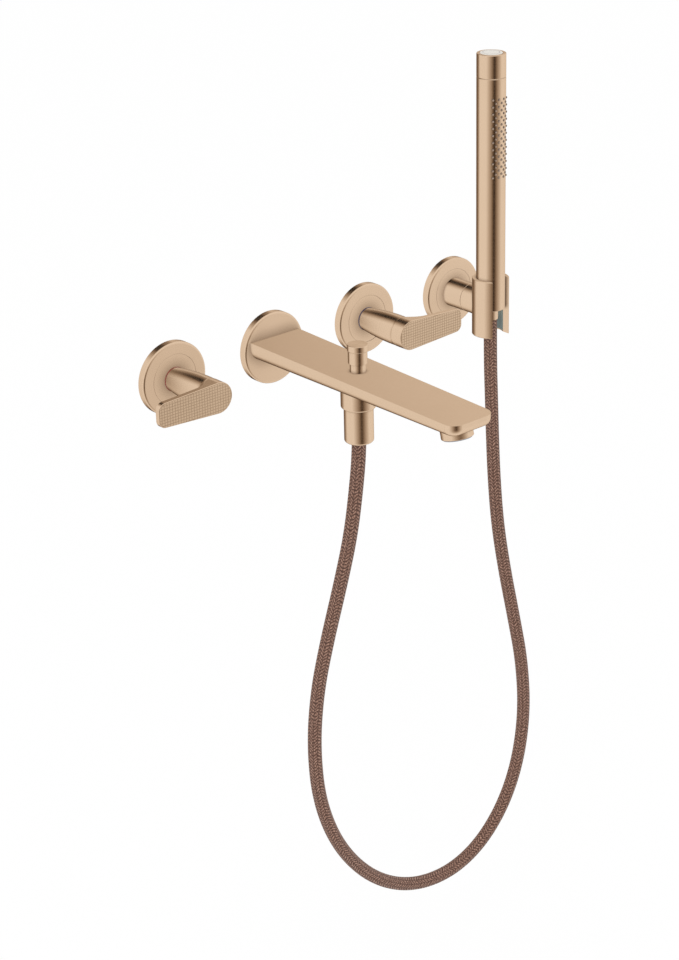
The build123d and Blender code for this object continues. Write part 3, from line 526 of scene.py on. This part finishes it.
def tube_mesh(name, points, radius, sides, material):
    """A tube along points, with the faces of its sides in order and the two end faces last."""
    rings = rings_along(points, radius, sides)
    verts = [corner for ring in rings for corner in ring]
    faces = []
    for index in range(len(rings) - 1):
        for corner in range(sides):
            a, b = index * sides + corner, index * sides + (corner + 1) % sides
            faces.append((a, b, b + sides, a + sides))
    faces.append(tuple(reversed(range(sides))))
    faces.append(tuple(range(len(verts) - sides, len(verts))))
    return mesh_from(name, verts, faces, material, smooth=True)


def hose_mesh(points, material):
    """The hose's tube, with a map of the length and the way round."""
    mesh = tube_mesh("shower_hose_braid", points, HOSE_RADIUS * MM, HOSE_SIDES, material)
    lengths = [0.0]
    for before, after in zip(points, points[1:]):
        lengths.append(lengths[-1] + (after - before).length)
    layer = mesh.uv_layers.new(name="braid")
    for face in mesh.polygons[:-2]:
        index, corner = divmod(face.index, HOSE_SIDES)
        places = ((index, corner), (index, corner + 1), (index + 1, corner + 1), (index + 1, corner))
        for loop, (ring, step) in zip(face.loop_indices, places):
            layer.data[loop].uv = (lengths[ring], step / HOSE_SIDES)
    return mesh, lengths[-1]


def make_hose(material):
    """The hose, which hangs between the outlet and the hand shower."""
    points = evenly(route_points(), HOSE_STEP * MM)
    mesh, length = hose_mesh(points, material)
    hose = new_object("shower_hose_braid", mesh)
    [Vector(point) * MM for point in HOSE_BLEND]
    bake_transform(hose)
    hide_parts("shower_hose")
    tuple(points[0])
    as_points(points)


def arc(centre, radius, start, end, steps):
    """Points on an arc, angles in degrees."""
    for step in range(steps + 1):
        angle = math.radians(start + (end - start) * step / steps)
        yield (centre[0] + radius * math.cos(angle), centre[1] + radius * math.sin(angle))


def lever_outline(inset):
    """The lever's outline about its stem, lever to +X, anticlockwise and drawn in by an inset."""
    corner = LEVER_TIP_CORNER
    cx, cy = LEVER_REACH - corner, LEVER_TIP_HALF_HEIGHT - corner
    apart = math.hypot(cx, cy)
    lean = math.degrees(math.asin((LEVER_ROUND_RADIUS - corner) / apart) - math.atan2(cy, cx))
    touch = 90 - lean
    points = list(arc((cx, -cy), corner - inset, -touch, 0, LEVER_TIP_STEPS))
    points += arc((cx, cy), corner - inset, 0, touch, LEVER_TIP_STEPS)
    points += arc((0, 0), LEVER_ROUND_RADIUS - inset, touch, 360 - touch, LEVER_ROUND_STEPS)
    return points


def clipped(polygon, outline):
    """The part of a polygon inside a convex outline that runs anticlockwise."""
    for (ax, ay), (bx, by) in zip(outline, outline[1:] + outline[:1]):
        kept = []
        inside = [(bx - ax) * (y - ay) - (by - ay) * (x - ax) for x, y in polygon]
        for i, (x, y) in enumerate(polygon):
            px, py = polygon[i - 1]
            here, last = inside[i], inside[i - 1]
            if (here >= 0) != (last >= 0):
                share = last / (last - here)
                kept.append((px + (x - px) * share, py + (y - py) * share))
            if here >= 0:
                kept.append((x, y))
        polygon = kept
        if not polygon:
            break
    return polygon


def area_of(polygon):
    turns = zip(polygon, polygon[1:] + polygon[:1])
    return sum(ax * by - bx * ay for (ax, ay), (bx, by) in turns) / 2


def knurl_cells():
    """The squares of the knurl, cut off at the lever's outline."""
    outline = lever_outline(KNURL_INSET)
    across, tall = KNURL_PITCH
    half_x, half_y = (across - KNURL_GAP[0]) / 2, (tall - KNURL_GAP[1]) / 2
    rows = int(LEVER_ROUND_RADIUS / tall) + 1
    for column in range(-int(LEVER_ROUND_RADIUS / across) - 1, int(LEVER_REACH / across) + 1):
        for row in range(-rows, rows + 1):
            low_x, high_x = column * across - half_x, column * across + half_x
            low_y, high_y = row * tall - half_y, row * tall + half_y
            square = [(low_x, low_y), (high_x, low_y), (high_x, high_y), (low_x, high_y)]
            cell = clipped(square, outline)
            if len(cell) > 2 and area_of(cell) > half_x * half_y:
                yield cell


def lever_blocks(name, cells, height, top_share, side, material):
    """Blocks with sloping sides on a lever's front. A side of -1 mirrors them for the hot lever."""
    verts, faces = [], []
    for cell in cells:
        count, start = len(cell), len(verts)
        mx, my = sum(x for x, _ in cell) / count, sum(y for _, y in cell) / count
        for share, out in ((1.0, LEVER_FRONT - KNURL_SINK), (top_share, LEVER_FRONT + height)):
            for x, y in cell:
                px, py = mx + (x - mx) * share, my + (y - my) * share
                verts.append(Vector((side * (STATION_PITCH + px), -out, py)) * MM)
        bottom = list(range(start, start + count))
        top = list(range(start + count, start + 2 * count))
        block = [top, bottom[::-1]]
        for i in range(count):
            j = (i + 1) % count
            block.append([bottom[i], bottom[j], top[j], top[i]])
        faces += block if side > 0 else [face[::-1] for face in block]
    return mesh_from(name, verts, faces, material)


def make_knurls():
    """The knurl on each lever's front: raised squares over a ground darkened with painted shade."""
    cells, ground = list(knurl_cells()), [lever_outline(GROOVE_INSET)]
    for name, side in (("hot", -1), ("cold", 1)):
        body = f"{name}_lever"
        turned = TURNED[name][:-1]
        raised = turned_metal(f"bronze_knurl_{name}", *KNURL, *turned)
        # Painted shade between the squares, in a darker bronze.
        painted_groove_shade = turned_metal(f"bronze_painted_groove_shade_{name}", *GROOVE, *turned)
        knurl = lever_blocks(f"{body}_knurl", cells, KNURL_HEIGHT, KNURL_TOP_SHARE, side, raised)
        groove = lever_blocks(f"{body}_groove", ground, GROOVE_HEIGHT, 1.0, side, painted_groove_shade)
        for mesh in (knurl, groove):
            piece = new_object(mesh.name, mesh)
            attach(piece, body)


def make_spring(material):
    """The button's spring as a coil, in the room that its plain tube takes."""
    low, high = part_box("button_spring")
    middle, wire = (low + high) / 2, SPRING_WIRE * MM
    reach, tall = (high.x - low.x - wire) / 2, high.z - low.z
    points = []
    for step in range(SPRING_STEPS + 1):
        share = step / SPRING_STEPS
        angle = 2 * math.pi * SPRING_TURNS * share
        across, back = reach * math.cos(angle), reach * math.sin(angle)
        rise = low.z + wire / 2 + share * (tall - wire)
        points.append(Vector((middle.x + across, middle.y + back, rise)))
    mesh = tube_mesh("button_spring_coil", points, wire / 2, SPRING_SIDES, material)
    coil = new_object("button_spring_coil", mesh)
    foot, keep = (middle.x, middle.y, low.z), 1 - BUTTON_TRAVEL * MM / tall
    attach(coil, "handset")
    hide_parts("button_spring")
    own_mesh(coil)
    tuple(foot)


# Studio


def make_floor():
    """A pale floor, white to the camera but for the object's shadow."""
    material, n = new_material("floor")
    ray = n.add("ShaderNodeLightPath").outputs["Is Camera Ray"]
    shade = n.add("ShaderNodeBsdfDiffuse", {"Color": (FLOOR_SHADE, FLOOR_SHADE, FLOOR_SHADE, 1)})
    white = n.add("ShaderNodeEmission", {"Color": (1, 1, 1, 1), "Strength": 1.0})
    share = n.math("MULTIPLY", ray, FLOOR_WHITE_SHARE)
    mixed = n.add("ShaderNodeMixShader", {0: share, 1: shade.outputs[0], 2: white.outputs[0]})
    n.add("ShaderNodeOutputMaterial", {0: mixed.outputs[0]})
    turns = ((-1, -1), (1, -1), (1, 1), (-1, 1))
    corners = [(x * FLOOR_HALF, y * FLOOR_HALF, FLOOR_Z) for x, y in turns]
    floor = new_object("floor", mesh_from("floor", corners, [(0, 1, 2, 3)], material))


# Dark gaps between the studio's soft panels: azimuth and elevation of the middle, the half angles
# at which the dark core ends and the full light begins, all in degrees, and the light left in the core.
DARK_GAPS = [
    (-109, -16, 5, 61, 0.0),
    (77, 43, 9, 36, 0.0),
    (58.5, 26, 2, 9, 0.4),
    (44, 0, 8, 22, 0.55),
    (92, -4, 16, 36, 0.18),
    (58, -34, 10, 38, 0.06),
]
# The powers that the light in a gap is raised to in red and in blue: the darker, the browner.
GAP_WARMTH = (0.84, 1.17)


def make_world():
    """A pale studio: white behind the object, plain soft light, and dark gaps that metal mirrors."""
    world = bpy.data.worlds.new("studio")
    bpy.context.scene.world = world
    world.use_nodes = True
    n = Nodes(world.node_tree)
    glossy = n.add("ShaderNodeLightPath").outputs["Is Glossy Ray"]
    direction = n.add("ShaderNodeTexCoord").outputs["Generated"]
    level = 1.0
    for azimuth, elevation, core, edge, least in DARK_GAPS:
        az, el = math.radians(azimuth), math.radians(elevation)
        middle = Vector((math.cos(el) * math.cos(az), math.cos(el) * math.sin(az), math.sin(el)))
        apart = n.math("ARCCOSINE", n.vector_math("DOT_PRODUCT", direction, middle, "Value"))
        share = n.span(apart, math.radians(core), math.radians(edge), least, 1.0, "LINEAR")
        level = n.math("MULTIPLY", share, level)
    red, blue = (n.math("POWER", level, power) for power in GAP_WARMTH)
    gaps = n.add("ShaderNodeCombineColor", {0: red, 1: level, 2: blue}).outputs[0]
    colour = n.mix(glossy, (1, 1, 1, 1), gaps)
    light = n.add("ShaderNodeBackground", {"Color": colour, "Strength": 1.0})
    n.add("ShaderNodeOutputWorld", {0: light.outputs[0]})


def make_lamp():
    """One soft lamp, up on the left in front of the wall."""
    lamp = bpy.data.lights.new("key", "AREA")
    lamp.shape = "DISK"
    lamp.size = LAMP_SIZE
    lamp.energy = LAMP_POWER
    piece = new_object("key", lamp)
    piece.location = LAMP_AT
    piece.rotation_mode = "QUATERNION"
    piece.rotation_quaternion = (LAMP_TARGET - LAMP_AT).to_track_quat("-Z", "Y")


def make_camera():
    """The camera at the photograph's angle, with its shift in shares of the longer side."""
    camera = bpy.data.cameras.new("camera")
    camera.sensor_width = SENSOR_WIDTH
    camera.lens = FOCAL_PX * camera.sensor_width / IMAGE_SIZE[1]
    camera.shift_x = (IMAGE_SIZE[0] / 2 - CENTRE_PX[0]) / IMAGE_SIZE[1]
    camera.shift_y = (CENTRE_PX[1] - IMAGE_SIZE[1] / 2) / IMAGE_SIZE[1]
    camera.clip_end = CLIP_END
    piece = bpy.data.objects.new("camera", camera)
    bpy.context.scene.collection.objects.link(piece)
    back = CAMERA_BACK.normalized()
    right = Vector((0, 0, 1)).cross(back).normalized()
    turn = Matrix((right, back.cross(right), back)).transposed()
    piece.matrix_world = Matrix.Translation(CAMERA_AT) @ turn.to_4x4()
    bpy.context.scene.camera = piece


make_camera()
make_floor()
make_world()
make_lamp()
materials = make_materials()
bronze = make_bronze()
dress_nodes(materials, bronze)
make_hose(materials["hose"])
make_knurls()
make_spring(materials["screw"])
bpy.context.scene.view_settings.view_transform = "Standard"
